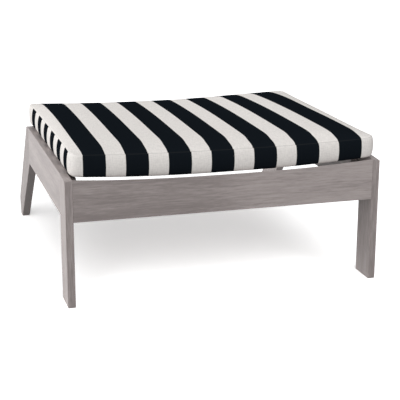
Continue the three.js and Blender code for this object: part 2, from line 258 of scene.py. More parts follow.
@dataclass(frozen=True)
class GreyBoards:
    """Hardwood gone grey outdoors: long streaks, fine open pores and worn pale edges.

    Its patterns run along the grain first. Here and in the other finishes, a span is where a smooth
    step starts and ends, a roughness given as a pair is a middle and a swing about it, and a relief
    is a depth in metres and a strength.
    """

    pale: Colour = (0.366, 0.323, 0.314)
    deep: Colour = (0.178, 0.152, 0.147)
    worn: Colour = (0.42, 0.376, 0.366)
    seed_way: Place = (1.0, 0.37, 0.71)
    drift: Pattern = Pattern((2.6, 11.0, 11.0), 1.0)
    drift_reach: Place = (0.0, 0.012, 0.012)
    streaks: Pattern = Pattern((19.0, 230.0, 230.0), 4.0, 0.66)
    clouds: Pattern = Pattern((3.0, 34.0, 34.0), 2.0)
    pores: Pattern = Pattern((60.0, 1150.0, 1150.0), 2.0, 0.55)
    streak_tone: float = 1.15
    cloud_tone: float = 0.7
    pore_tone: float = 0.45
    # Where the painted light ramps up across a board, in metres along X
    painted_light_span: Pair = (-0.1, 0.12)
    edge_radius: float = 0.0022
    wear_span: Pair = (0.02, 0.22)
    wear_streaks: Pair = (0.3, 0.7)
    wear: float = 0.55
    roughness: Pair = (0.5, 0.25)
    streak_relief: float = 0.7
    pore_relief: float = 0.5
    relief: Pair = (0.0005, 0.35)
    gloss: float = 0.45

    def material(self, name: str, grain: Grain, tone: float, painted_light: float, seed: float) -> bpy.types.Material:
        """Makes the finish of one board.

        Args:
            name: The board's name.
            grain: The way its grain runs.
            tone: How much lighter or darker than the others it is, about 0.
            painted_light: How much lighter its right half is painted than its left, as painted light.
            seed: Where in the pattern it was cut, in metres.

        Returns:
            The material.
        """
        material, tree = new_material(f"grey_boards_{name}")
        run = Vector(grain.value).normalized()
        side = run.orthogonal().normalized()
        turn = Matrix((run, side, run.cross(side))).to_euler()
        cut = tuple(seed * part for part in self.seed_way)
        place = tree.place()
        board = tree.node("ShaderNodeMapping", {}, {"Vector": place, "Rotation": turn, "Location": cut})
        wavy = board + (tree.noise(board, self.drift, "Color") - 0.5) * self.drift_reach
        streak = tree.noise(wavy, self.streaks)
        pores = tree.noise(wavy, self.pores)
        clouds = tree.noise(wavy, self.clouds)
        shade = (streak - 0.5) * self.streak_tone + (clouds - 0.5) * self.cloud_tone
        shade = shade + (pores - 0.5) * self.pore_tone + (0.5 + tone)
        # Painted light: the board is painted lighter towards its right end, for light that falls brighter
        # there
        if painted_light:
            shade = shade + (tree.ease(tree.part(place, "X"), *self.painted_light_span) - 0.5) * painted_light
        colour = tree.blend(tree.ease(shade, 0.0, 1.0), self.deep, self.pale)
        rounded = tree.node("ShaderNodeBevel", {"samples": 4}, {"Radius": self.edge_radius})
        flat = tree.node("ShaderNodeNewGeometry", output="Normal")
        facing = tree.node("ShaderNodeVectorMath", {"operation": "DOT_PRODUCT"},
                           {0: rounded, 1: flat}, "Value")
        worn = tree.ease(1.0 - facing, *self.wear_span) * tree.ease(streak, *self.wear_streaks) * self.wear
        colour = tree.blend(worn, colour, self.worn)
        normal = tree.bump(streak * self.streak_relief + pores * self.pore_relief, *self.relief)
        tree.finish(colour, streak.around(*self.roughness), normal, {"Specular IOR Level": self.gloss})
        return material


@dataclass(frozen=True)
class DowelBeech:
    """Turned pale hardwood with a short straight grain."""

    pale: Colour = (0.63, 0.45, 0.27)
    deep: Colour = (0.46, 0.3, 0.165)
    flecks: Pattern = Pattern((260.0, 260.0, 700.0), 4.0, 0.6)
    fleck_span: Pair = (0.32, 0.68)
    roughness: Pair = (0.62, 0.2)
    relief: Pair = (0.0003, 0.3)

    def material(self) -> bpy.types.Material:
        """Makes the finish.

        Returns:
            The material.
        """
        material, tree = new_material("dowel_beech")
        fleck = tree.noise(tree.place(), self.flecks)
        colour = tree.blend(tree.ease(fleck, *self.fleck_span), self.deep, self.pale)
        tree.finish(colour, fleck.around(*self.roughness), tree.bump(fleck, *self.relief), {})
        return material


@dataclass(frozen=True)
class BrushedSteel:
    """Plain stainless steel with fine brushing and a few dull spots."""

    bright: Colour = (0.55, 0.56, 0.57)
    dull: Colour = (0.36, 0.36, 0.35)
    brushing: Pattern = Pattern((900.0, 2600.0, 2600.0), 3.0, 0.6)
    spots: Pattern = Pattern(160.0, 2.0)
    spot_span: Pair = (0.45, 0.7)
    spot_tone: float = 0.4
    spot_roughness: float = 0.15
    roughness: Pair = (0.27, 0.2)
    relief: Pair = (0.0001, 0.2)

    def material(self) -> bpy.types.Material:
        """Makes the finish.

        Returns:
            The material.
        """
        material, tree = new_material("brushed_steel")
        place = tree.place()
        brushing = tree.noise(place, self.brushing)
        spots = tree.ease(tree.noise(place, self.spots), *self.spot_span)
        colour = tree.blend(spots * self.spot_tone, self.bright, self.dull)
        roughness = brushing.around(*self.roughness) + spots * self.spot_roughness
        tree.finish(colour, roughness, tree.bump(brushing, *self.relief), {"Metallic": 1.0})
        return material


@dataclass(frozen=True)
class OpenFoam:
    """Cream foam with open cells and a cut face."""

    pale: Colour = (0.83, 0.77, 0.63)
    # The painted shade in the cells' hollows
    deep: Colour = (0.6, 0.53, 0.39)
    aged: Colour = (0.8, 0.68, 0.45)
    cell_scale: float = 480.0
    cell_span: Pair = (0.1, 0.55)
    ageing: Pattern = Pattern(6.0, 3.0)
    ageing_span: Pair = (0.35, 0.7)
    ageing_tone: float = 0.35
    skin_roughness: float = 0.95
    cell_gloss: float = 0.1
    relief: Pair = (0.0008, 0.5)

    def material(self) -> bpy.types.Material:
        """Makes the finish.

        Returns:
            The material.
        """
        material, tree = new_material("open_foam")
        place = tree.place()
        cells = tree.node("ShaderNodeTexVoronoi", {},
                          {"Vector": place, "Scale": self.cell_scale}, "Distance")
        yellow = tree.ease(tree.noise(place, self.ageing), *self.ageing_span) * self.ageing_tone
        pale = tree.blend(yellow, self.pale, self.aged)
        # Painted shade: each cell's hollow is painted darker than its rim
        colour = tree.blend(tree.ease(cells, *self.cell_span), self.deep, pale)
        roughness = self.skin_roughness - cells * self.cell_gloss
        tree.finish(colour, roughness, tree.bump(cells, *self.relief), {})
        return material


@dataclass(frozen=True)
class CoilZip:
    """Black zip: a coil across the middle and woven tape beside it."""

    black: Colour = (0.012, 0.013, 0.015)
    worn: Colour = (0.05, 0.052, 0.056)
    pitch: float = 0.0013
    fibres: Pattern = Pattern((1400.0, 1400.0, 2600.0), 2.0)
    wear_span: Pair = (0.55, 1.0)
    coil_wear: float = 0.6
    fibre_wear: float = 0.25
    tape_roughness: float = 0.62
    coil_gloss: float = 0.2
    coil_relief: float = 0.8
    fibre_relief: float = 0.2
    relief: Pair = (0.0004, 0.7)

    def material(self) -> bpy.types.Material:
        """Makes the finish.

        Returns:
            The material.
        """
        material, tree = new_material("coil_zip")
        place = tree.place()
        coil = tree.maths("SINE", tree.part(place, "X") * (2 * math.pi / self.pitch)) * 0.5 + 0.5
        fibre = tree.noise(place, self.fibres)
        wear = tree.ease(coil, *self.wear_span) * self.coil_wear + fibre * self.fibre_wear
        normal = tree.bump(coil * self.coil_relief + fibre * self.fibre_relief, *self.relief)
        roughness = self.tape_roughness - coil * self.coil_gloss
        tree.finish(tree.blend(wear, self.black, self.worn), roughness, normal, {})
        return material


@dataclass(frozen=True)
class SewingThread:
    """Twisted off-white sewing thread."""

    pale: Colour = (0.62, 0.6, 0.56)
    deep: Colour = (0.38, 0.36, 0.33)
    twists: Pattern = Pattern((2600.0, 900.0, 2600.0), 2.0)
    twist_span: Pair = (0.3, 0.7)
    roughness: Pair = (0.75, 0.2)
    relief: Pair = (0.0002, 0.4)

    def material(self) -> bpy.types.Material:
        """Makes the finish.

        Returns:
            The material.
        """
        material, tree = new_material("sewing_thread")
        twist = tree.noise(tree.place(), self.twists)
        colour = tree.blend(tree.ease(twist, *self.twist_span), self.deep, self.pale)
        tree.finish(colour, twist.around(*self.roughness), tree.bump(twist, *self.relief), {})
        return material


@dataclass(frozen=True)
class StripedCloth:
    """Outdoor canvas woven in wide black and off-white stripes.

    The stripes follow the map "stripes", in periods of one black and one white stripe, and the
    threads follow the map "weave", in metres. The attribute "seam" is 1 along a seam.
    """

    white: Colour = (0.845, 0.812, 0.782)
    black: Colour = (0.0062, 0.0088, 0.0122)
    fuzzy_black: Colour = (0.018, 0.021, 0.025)
    # Painted shade: the colour the cloth is drawn towards along its seams, for the shade in their creases
    seam_shade: Colour = (0.05, 0.048, 0.045)
    black_share: float = 0.268
    stripe_edge: float = 0.004
    raggedness: float = 0.006
    thread: float = 0.0011
    slubs_across: Pattern = Pattern((70.0, 430.0, 1.0), 3.0, 0.7)
    slubs_along: Pattern = Pattern((430.0, 70.0, 1.0), 3.0, 0.7)
    fuzz: Pattern = Pattern(5200.0, 1.0)
    slub_tone: float = 0.4
    thread_tone: float = 0.05
    fuzz_tone: float = 0.25
    seam_span: Pair = (0.45, 1.0)
    seam_tone: float = 0.22
    thread_relief: float = 0.6
    slub_relief: Pair = (0.5, 0.35)
    roughness: Pair = (0.86, 0.1)
    relief: Pair = (0.0004, 0.35)

    def material(self) -> bpy.types.Material:
        """Makes the finish.

        Returns:
            The material.
        """
        material, tree = new_material("striped_cloth")
        weave = tree.node("ShaderNodeUVMap", {"uv_map": "weave"})
        slub_across = tree.noise(weave, self.slubs_across)
        slub_along = tree.noise(weave, self.slubs_along)
        fuzz = tree.noise(weave, self.fuzz)
        turns = math.pi / self.thread
        across, along = (tree.maths("SINE", tree.part(weave, axis) * turns) for axis in "XY")
        height = tree.maths("ABSOLUTE", across * along)
        stripes = tree.node("ShaderNodeUVMap", {"uv_map": "stripes"})
        period = tree.part(stripes, "X") + (slub_across - 0.5) * self.raggedness
        edges = (self.black_share - self.stripe_edge, self.black_share + self.stripe_edge)
        black = 1.0 - tree.ease(tree.maths("PINGPONG", period, 0.5), *edges)
        lightness = 1.0 + (slub_across - 0.5) * self.slub_tone + (slub_along - 0.5) * self.slub_tone
        lightness = lightness + (height - 0.5) * self.thread_tone
        white = tree.node("ShaderNodeVectorMath", {"operation": "SCALE"},
                          {0: self.white, "Scale": lightness})
        dark = tree.blend(fuzz * self.fuzz_tone, self.black, self.fuzzy_black)
        # Painted shade: the cloth is painted darker along the seams, where their creases fall in shade
        seam = tree.node("ShaderNodeAttribute", {"attribute_name": "seam"}, output="Fac")
        colour = tree.blend(tree.ease(seam, *self.seam_span) * self.seam_tone,
                            tree.blend(black, white, dark), self.seam_shade)
        across_relief, along_relief = self.slub_relief
        threads = height * self.thread_relief + slub_across * across_relief + slub_along * along_relief
        tree.finish(colour, fuzz.around(*self.roughness), tree.bump(threads, *self.relief),
                    {"Specular IOR Level": 0.0})
        return material


@dataclass
class BoardFrame:
    """The glued and screwed frame: legs, rails, cleats and deck slats, each cut from its own board.

    A board has its name, the way its grain runs, and its tone.
    """

    finish: GreyBoards = GreyBoards()
    # The front rail is painted lighter towards its right end: painted light, brighter there
    painted_light_board: str = "front_rail"
    painted_light: float = 0.38
    first_cut: float = 1.0
    cut_step: float = 1.37
    boards: tuple[tuple[str, Grain, float], ...] = (
        ("front_leg_left", Grain.UPRIGHT, -0.06),
        ("front_leg_right", Grain.UPRIGHT, -0.1),
        ("rear_leg_left", Grain.RAKED, -0.4),
        ("rear_leg_right", Grain.RAKED, 0.03),
        ("side_rail_left", Grain.ALONG, -0.06),
        ("side_rail_right", Grain.ALONG, -0.05),
        ("front_rail", Grain.ACROSS, 0.0),
        ("rear_rail", Grain.ACROSS, 0.02),
        ("cleat_left", Grain.ALONG, -0.04),
        ("cleat_right", Grain.ALONG, 0.02),
        ("slat_1", Grain.ACROSS, -0.02),
        ("slat_2", Grain.ACROSS, 0.05),
        ("slat_3", Grain.ACROSS, -0.06),
        ("slat_4", Grain.ACROSS, 0.01),
        ("slat_5", Grain.ACROSS, 0.04),
    )

    def build(self) -> list[str]:
        """Dresses every board.

        Returns:
            The names of the boards.
        """
        for number, (name, grain, tone) in enumerate(self.boards):
            painted_light = self.painted_light if name == self.painted_light_board else 0.0
            seed = self.first_cut + self.cut_step * number
            material = self.finish.material(name, grain, tone, painted_light, seed)
            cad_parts[name].material_slots[0].material = material
        return [name for name, _, _ in self.boards]


@dataclass
class Fastenings:
    """The frame's dowels and its screws, which have a hexagonal socket and a ridged shank.

    Lengths are in metres. The root of the screw's thread is given in shares of the pitch, and a side
    of the socket is the angle that it spans.
    """

    dowel_finish: DowelBeech = DowelBeech()
    screw_finish: BrushedSteel = BrushedSteel()
    segments: int = 24
    head_radius: float = 0.004
    head_depth: float = 0.003
    head_edge: float = 0.0005
    socket_radius: float = 0.0021
    socket_depth: float = 0.0016
    socket_cone: float = 0.0004
    socket_side: float = math.pi / 3
    shank_radius: float = 0.002
    core_radius: float = 0.0015
    plain_length: float = 0.008
    thread_pitch: float = 0.0016
    thread_root: Pair = (0.3, 0.6)
    tip_length: float = 0.005
    weld: float = 1e-6
    nearly: float = 1e-5

    def outline(self, length: float) -> list[Pair]:
        """The half section of a screw, from the bottom of its socket to its tip.

        Args:
            length: The screw's length.

        Returns:
            Pairs of a radius and a depth below the head's top.
        """
        under_edge = self.head_edge / 2
        points = [(0.0, self.socket_depth + self.socket_cone), (self.socket_radius, self.socket_depth),
                  (self.socket_radius, 0.0), (self.head_radius - self.head_edge, 0.0),
                  (self.head_radius, self.head_edge), (self.head_radius, self.head_depth - under_edge),
                  (self.head_radius - under_edge, self.head_depth), (self.shank_radius, self.head_depth),
                  (self.shank_radius, self.plain_length)]
        depth = self.plain_length
        while depth < length - self.tip_length:
            points += [(self.core_radius, depth + self.thread_pitch * share) for share in self.thread_root]
            depth += self.thread_pitch
            points.append((self.shank_radius, depth))
        return points + [(0.0, length)]

    def turned(self, length: float) -> bmesh.types.BMesh:
        """Turns a screw about the z axis, its head's top at the origin and its tip below.

        Args:
            length: The screw's length.

        Returns:
            The screw's form.
        """
        form = bmesh.new()
        verts = [form.verts.new((radius, 0, -depth)) for radius, depth in self.outline(length)]
        edges = [form.edges.new(pair) for pair in zip(verts, verts[1:])]
        bmesh.ops.spin(form, geom=verts + edges, cent=(0, 0, 0), axis=(0, 0, 1), angle=2 * math.pi,
                       steps=self.segments, use_merge=True)
        bmesh.ops.remove_doubles(form, verts=form.verts, dist=self.weld)
        for vert in form.verts:
            radius = math.hypot(vert.co.x, vert.co.y)
            in_socket = vert.co.z > -self.socket_depth - self.nearly
            if in_socket and self.nearly < radius < self.socket_radius + self.nearly:
                off_flat = math.atan2(vert.co.y, vert.co.x) % self.socket_side - self.socket_side / 2
                vert.co.xy *= math.cos(self.socket_side / 2) / math.cos(off_flat)
        bmesh.ops.recalc_face_normals(form, faces=form.faces)
        return form

    def screw(self, name: str, steel: bpy.types.Material) -> str:
        """Turns one screw in the place of its solid.

        Args:
            name: The solid's name.
            steel: The screw's finish.

        Returns:
            The name of the piece.
        """
        low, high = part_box(name)
        top = (low + high) / 2
        down = Vector((math.copysign(1, top.x), 0, 0)) if "cleat" in name else Vector((0, 0, -1))
        length = abs((high - low).dot(down))
        top -= down * length / 2
        form = self.turned(length)
        turn = Vector((0, 0, -1)).rotation_difference(down).to_matrix().to_4x4()
        bmesh.ops.transform(form, matrix=Matrix.Translation(top) @ turn, verts=form.verts)
        piece = placed(f"turned_{name}", form, steel)
        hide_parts(name)
        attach(piece, "frame")
        return piece.name

    def build(self) -> list[str]:
        """Dresses the dowels and turns the screws.

        Returns:
            The names of the pieces.
        """
        beech = self.dowel_finish.material()
        steel = self.screw_finish.material()
        dowels = [name for name in sorted(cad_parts) if "dowel" in name]
        for name in dowels:
            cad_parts[name].material_slots[0].material = beech
        screws = [name for name in sorted(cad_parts) if "screw" in name]
        return dowels + [self.screw(name, steel) for name in screws]


@dataclass(frozen=True)
class StripeLayout:
    """Where the stripes lie on each panel, in periods from the middle of a black stripe.

    The stripes fan out a little towards the front and bend with the cloth: on the top they slant, fan
    out, bow across and hook from front to rear, each by a value of its own. The outermost black
    stripes are cut wider than the others. Lengths are in metres, and depth is the way from the front,
    at 0, to the rear, at 1.
    """

    top_middle: float = 0.1101
    top_rate: float = 9.2349
    slant: float = -0.0126
    fan: float = 0.1466
    bow: float = -0.8453
    hook: float = -0.2484
    rear_bow: float = 0.8946
    rear_fan: float = 0.4704
    rear_hook: float = 0.3751
    skew: float = 0.0146
    right_stripe: float = 3.0
    front_widening: float = 0.21
    front_widened: float = 0.15
    rear_widening: float = 0.19
    rear_widening_start: float = 0.48
    rear_widening_reach: float = 0.36
    left_stripe: float = -4.0
    left_narrowing: float = 0.72
    front_middle: float = 0.0932
    front_rate: float = 9.2428
    front_bow: float = -0.7148
    side_stripe: float = 4.0
    side_start: float = 0.0824
    side_lean: float = 0.263
    side_period: float = 0.0941
    side_growth: float = 0.000908
    side_wave: float = 0.012
    side_last: float = 9.55

    def on_top(self, x: float, depth: float) -> float:
        """The stripes of the top panel.

        Args:
            x: Place across, from the object's middle.
            depth: The way from front to rear, from 0 to 1.

        Returns:
            The number of periods.
        """
        straight = self.top_middle + self.top_rate * x + self.slant * depth + self.fan * x * depth
        bent = (self.bow * x * x + self.hook * depth * depth + self.rear_bow * x * x * depth
                + self.rear_fan * x * depth * depth)
        periods = straight + bent + self.rear_hook * depth ** 3 + self.skew * x ** 3
        if periods > self.right_stripe:
            widening = self.front_widening * eased(depth / self.front_widened)
            rearward = (depth - self.rear_widening_start) / self.rear_widening_reach
            widening += self.rear_widening * eased(rearward)
            return self.right_stripe + (periods - self.right_stripe) * (1 - widening)
        if self.left_stripe < periods < self.left_stripe + 0.5:
            return self.left_stripe + (periods - self.left_stripe) * self.left_narrowing
        return periods

    def on_front(self, x: float) -> float:
        """The stripes of the front boxing, at x right of the object's middle."""
        return self.front_middle + self.front_rate * x + self.front_bow * x * x

    def on_side(self, y: float, z: float) -> float:
        """The stripes of the side boxing.

        Args:
            y: Place towards the rear, from the cushion's front.
            z: Height above the cushion's underside.

        Returns:
            The number of periods.
        """
        along = y + self.side_lean * z - self.side_start
        root = math.sqrt(self.side_period ** 2 + 4 * self.side_growth * along)
        periods = self.side_stripe + 2 * along / (self.side_period + root)
        return min(periods + self.side_wave * math.sin(2 * math.pi * periods), self.side_last)


@dataclass
class BoxCushion:
    """The loose box cushion: a crowned cover with drawn-in seams over its foam.

    The cover is moulded a little slack, swells in a cloth simulation, and then gets its creased
    seams and the slot for its zip. Lengths are in metres; shares run from -1 to 1.
    """

    # The blank that the cover is moulded from, with its cells crowded towards the edges
    cells_across: int = 84
    cells_deep: int = 72
    cells_high: int = 8
    crowding: float = 0.72

    # The seams, and the boxing between them
    corner_radius: float = 0.034
    seam_inset: float = 0.002
    seam_draw: float = 0.006
    draw_power: float = 6.0
    left_flatness: float = 0.6
    seam_rise: float = 0.0005
    front_sag: float = 0.0156
    side_sag: float = 0.012
    front_reach: float = 0.12
    boxing: float = 0.0565
    upper_sag: float = 0.010

    # The crowned top
    lean: float = 0.002
    crown: float = 0.015
    crown_power_across: float = 6.0
    crown_power_deep: float = 12.0
    front_roundness: float = 0.6
    rear_fall: float = 0.0025
    rear_fall_start: float = -0.2
    rear_lift: float = 0.005
    rear_lift_reach: float = 0.7

    # The underside, which lies in the dished deck
    dish_depth: float = 0.012
    dish_half: float = 0.381
    dish_power: float = 2.5
    hem_start: float = 0.93
    hem_power: float = 1.5

    # How the cover was put down a little askew
    left_push: float = 0.001
    left_swing: float = 0.0055
    right_swing: float = 0.009

    # The swelling, and what holds the cloth back
    slack: float = 0.002
    slack_reach: float = 0.06
    swell_cap: float = 0.003
    pressure: float = 4.0
    swell_frames: int = 20
    zip_hold: float = 0.005

    # The creases and the zip's slot
    seam_sharpness: float = 0.5
    seam_crease: float = 0.0010
    crease_drop: float = 0.7
    lip: float = 0.0008
    slot_margin: float = 0.014
    slot_depth: float = 0.0019
    slot_snap: float = 0.0002

    # The foam and the finishes
    foam_cells: tuple[int, int, int] = (42, 36, 6)
    foam_scale: Place = (0.985, 0.982, 0.9)
    layout: StripeLayout = StripeLayout()
    cloth: StripedCloth = StripedCloth()
    foam: OpenFoam = OpenFoam()

    def __post_init__(self) -> None:
        """Takes the cushion's place and reach, and the zip's, from their solids."""
        self.low, self.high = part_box("cushion_cover")
        self.middle = (self.low + self.high) / 2
        self.half_across = (self.high.x - self.low.x) / 2
        self.half_deep = (self.high.y - self.low.y) / 2
        self.zip_low, self.zip_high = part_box("zip_tape")

    def graded(self, share: float) -> float:
        """A share with its steps crowded towards both ends."""
        return share * (1 - self.crowding) + self.crowding * math.sin(math.pi / 2 * share)

    def rearward(self, y: float) -> float:
        """The way from front to rear, from 0 to 1, at y from the cushion's middle."""
        return min(1.0, max(0.0, (y / self.half_deep + 1) / 2))

    def underside(self, x: float) -> float:
        """Height of the underside, which lies in the dished deck, at x from the cushion's middle."""
        place = abs(x + self.middle.x) / self.dish_half
        return self.low.z + self.dish_depth * place ** self.dish_power

    def lower_seam(self, x: float, y: float) -> float:
        """Height of the lower seam: lifted at the front corners, lying on the rails further back.

        Args:
            x: Place across, from the cushion's middle.
            y: Place towards the rear, from the cushion's middle.

        Returns:
            The height in metres.
        """
        rise = (abs(x) / (self.half_across - self.seam_inset)) ** self.dish_power
        at_front = max(0.0, 1 - self.rearward(y) / self.front_reach)
        sag = self.side_sag + (self.front_sag - self.side_sag) * at_front
        return self.low.z + self.seam_rise + sag * rise

    def topside(self, x: float, y: float) -> float:
        """Height of the top panel and its seam.

        Args:
            x: Place across, from the cushion's middle.
            y: Place towards the rear, from the cushion's middle.

        Returns:
            The height in metres.
        """
        across = x / (self.half_across - self.seam_inset)
        deep = y / (self.half_deep - self.seam_inset)
        fullness = 1 - min(1.0, abs(deep)) ** self.crown_power_deep
        if deep < 0:
            fullness **= self.front_roundness
        fullness *= 1 - min(1.0, abs(across)) ** self.crown_power_across
        fall = self.rear_fall * max(0.0, (deep - self.rear_fall_start) / (1 - self.rear_fall_start)) ** 2
        lift = self.rear_lift * self.rearward(y) * eased(across / self.rear_lift_reach)
        seam = self.low.z + self.seam_rise + self.boxing + self.upper_sag * abs(across) ** self.dish_power
        return seam - self.lean * across + self.crown * fullness - fall + lift

    def rounded(self, x: float, y: float, half_x: float, half_y: float) -> tuple[float, float]:
        """Rounds the corners of the plan.

        Args:
            x: Place across on the square-cornered plan.
            y: Place towards the rear on it.
            half_x: Half of the plan's width.
            half_y: Half of its depth.

        Returns:
            The place on the plan with round corners.
        """
        radius = self.corner_radius
        u = max(0.0, (abs(x) - half_x + radius) / radius)
        v = max(0.0, (abs(y) - half_y + radius) / radius)
        if u > 0 and v > 0:
            x = math.copysign(half_x - radius + radius * u * math.sqrt(1 - v * v / 2), x)
            y = math.copysign(half_y - radius + radius * v * math.sqrt(1 - u * u / 2), y)
        return x, y

    def swing(self, across: float, rearward: float) -> float:
        """How far the cover lies to the left of its solid: it was put down a little askew.

        Args:
            across: Share across, from -1 on the left to 1 on the right.
            rearward: The way from front to rear, from 0 to 1.

        Returns:
            The distance in metres.
        """
        left = self.left_push + self.left_swing * rearward * (2 - rearward)
        return left * (1 - across) / 2 + self.right_swing * rearward * (1 + across) / 2

    def moulded(self, a: float, b: float, c: float) -> Vector:
        """Maps a place on a plain box to the cushion.

        Args:
            a: Share across.
            b: Share towards the rear.
            c: Share upwards.

        Returns:
            The place in metres.
        """
        share = (self.graded(c) + 1) / 2
        bow = (2 * share - 1) ** 2
        half_x = self.half_across - self.seam_inset * bow
        half_y = self.half_deep - self.seam_inset * bow
        x, y = self.rounded(self.graded(a) * half_x, self.graded(b) * half_y, half_x, half_y)
        flatter = bow + (1 - bow) * (self.left_flatness if x < 0 else 0.0)
        draw_x = self.seam_draw * flatter * (1 - abs(y / half_y) ** self.draw_power)
        draw_y = self.seam_draw * bow * (1 - abs(x / half_x) ** self.draw_power)
        edge = max(abs(self.graded(a)), abs(self.graded(b)))
        lift = max(0.0, (edge - self.hem_start) / (1 - self.hem_start)) ** self.hem_power
        bottom = self.underside(x) + (self.lower_seam(x, y) - self.underside(x)) * lift
        z = bottom + (self.topside(x, y) - bottom) * share
        askew = self.swing(x / half_x, self.rearward(y))
        x = x * (1 - draw_x / half_x) - askew
        y = y * (1 - draw_y / half_y)
        return Vector((x + self.middle.x, y + self.middle.y, z))

    def looseness(self, a: float, b: float, c: float, place: Vector) -> float:
        """How freely the cloth moves: 0 where a seam, the deck or the zip holds it, up to 1.

        Args:
            a: Share across on the plain box.
            b: Share towards the rear.
            c: Share upwards.
            place: The same place on the cushion.

        Returns:
            The freedom, from 0 to 1.
        """
        if c < -AT_EDGE:
            return 0.0
        if c > AT_EDGE:
            off_side = (1 - abs(self.graded(a))) * self.half_across
            off_seam = min(off_side, (1 - abs(self.graded(b))) * self.half_deep)
        else:
            off_seam = (1 - abs(self.graded(c))) * self.boxing / 2
            above = max(self.zip_low.z - place.z, place.z - self.zip_high.z)
            beside = max(self.zip_low.x - place.x, place.x - self.zip_high.x)
            if b > AT_EDGE:
                off_seam = min(off_seam, max(0.0, above - self.zip_hold, beside - self.zip_hold))
        return eased(off_seam / self.slack_reach)

    def pattern(self, place: Vector, axis: int, sign: int) -> float:
        """The place in the pattern of stripes, in periods from the middle of a black stripe.

        Args:
            place: The place on the cushion, in metres.
            axis: The axis that the panel faces along.
            sign: Its sense, -1 or 1.

        Returns:
            The number of periods.
        """
        if axis == 0:
            return sign * self.layout.on_side(place.y - self.low.y, place.z - self.low.z)
        if axis == 1 and sign < 0:
            return self.layout.on_front(place.x)
        return self.layout.on_top(place.x, self.rearward(place.y - self.middle.y))

    def blank(self, cells: tuple[int, int, int]) -> bmesh.types.BMesh:
        """A box of two metres, cut into cells.

        Args:
            cells: The number of cells across, deep and high.

        Returns:
            The box.
        """
        form = bmesh.new()
        bmesh.ops.create_cube(form, size=2.0)
        for axis, count in enumerate(cells):
            edges = [edge for edge in form.edges
                     if abs((edge.verts[0].co - edge.verts[1].co).normalized()[axis]) > LINED_UP]
            bmesh.ops.subdivide_edges(form, edges=edges, cuts=count - 1, use_grid_fill=True)
        return form

    def sewn(self) -> bpy.types.Object:
        """Moulds the cover, slightly slack.

        Returns:
            The cover, with the maps "stripes" and "weave", the attributes "seam" and "loose", and
            creased edges along its seams.
        """
        form = self.blank((self.cells_across, self.cells_deep, self.cells_high))
        stripes = form.loops.layers.uv.new("stripes")
        weave = form.loops.layers.uv.new("weave")
        seam = form.verts.layers.float.new("seam")
        loose = form.verts.layers.float.new("loose")
        crease = form.edges.layers.float.new("crease_edge")
        panels = {}
        for face in form.faces:
            centre = face.calc_center_median()
            axis = max(range(3), key=lambda number: abs(centre[number]))
            panels[face] = (axis, int(math.copysign(1, centre[axis])))
        for vert in form.verts:
            a, b, c = vert.co
            vert.co = self.moulded(a, b, c)
            vert[seam] = float(abs(c) > AT_EDGE and max(abs(a), abs(b)) > AT_EDGE)
            vert[loose] = self.looseness(a, b, c, vert.co)
        for edge in form.edges:
            if edge.verts[0][seam] > 0.5 and edge.verts[1][seam] > 0.5:
                edge[crease] = self.seam_sharpness
        for face, (axis, sign) in panels.items():
            for loop in face.loops:
                place = loop.vert.co
                loop[stripes].uv = (self.pattern(place, axis, sign), 0.0)
                loop[weave].uv = [(place.y, place.z), (place.x, place.z), (place.x, place.y)][axis]
        bmesh.ops.recalc_face_normals(form, faces=form.faces)
        form.normal_update()
        for vert in form.verts:
            vert.co -= vert.normal * self.slack * vert[loose]
        cover = placed("striped_cover", form, self.cloth.material())
        cover.data.shade_smooth()
        return cover

    def swell(self, cover: bpy.types.Object) -> None:
        """Swells the cover under its filling in a cloth simulation, and keeps the shape.

        Args:
            cover: The slack cover. No point of it moves further than the cap.
        """
        mesh = cover.data
        loose = [value.value for value in mesh.attributes["loose"].data]
        held = cover.vertex_groups.new(name="held")
        held.add([number for number, freedom in enumerate(loose) if freedom <= 0], 1.0, "REPLACE")
        cloth = cover.modifiers.new("filling", "CLOTH")
        cloth.settings.use_pressure = True
        cloth.settings.uniform_pressure_force = self.pressure
        cloth.settings.effector_weights.gravity = 0
        cloth.settings.vertex_group_mass = held.name
        cloth.point_cache.frame_start = 1
        cloth.point_cache.frame_end = self.swell_frames
        scene = bpy.context.scene
        for number in range(1, self.swell_frames + 1):
            scene.frame_set(number)
        swollen = cover.evaluated_get(bpy.context.evaluated_depsgraph_get()).data
        moved = [vert.co.copy() for vert in swollen.vertices]
        cover.modifiers.remove(cloth)
        cover.vertex_groups.remove(held)
        for vert, goal, freedom in zip(mesh.vertices, moved, loose):
            way = goal - vert.co
            if freedom > 0 and way.length > 0:
                vert.co += way.normalized() * self.swell_cap * math.tanh(way.length / self.swell_cap)
        scene.frame_set(1)

    def finish_seams(self, form: bmesh.types.BMesh) -> None:
        """Draws the seams in to a crease.

        Args:
            form: The swollen cover.
        """
        seam = form.verts.layers.float["seam"]
        for vert in form.verts:
            if vert[seam] > 0.5:
                inward = Vector((self.middle.x - vert.co.x, self.middle.y - vert.co.y, 0)).normalized()
                down = self.seam_crease if vert.co.z > self.middle.z else -self.seam_crease
                vert.co += inward * self.seam_crease - Vector((0, 0, down * self.crease_drop))

    def open_slot(self, form: bmesh.types.BMesh) -> None:
        """Sinks a slot with a folded lip into the rear boxing, where the zip's tape lies.

        Args:
            form: The swollen cover.
        """
        gap = Vector((self.lip,) * 3)
        low, high = self.zip_low - gap, self.zip_high + gap

        def near(face: bmesh.types.BMFace, margin: float) -> bool:
            """Whether a face looks to the rear and lies within a margin of the slot."""
            x, _, z = face.calc_center_median()
            return face.normal.y > TO_REAR and max(low.x - x, x - high.x, low.z - z, z - high.z) < margin

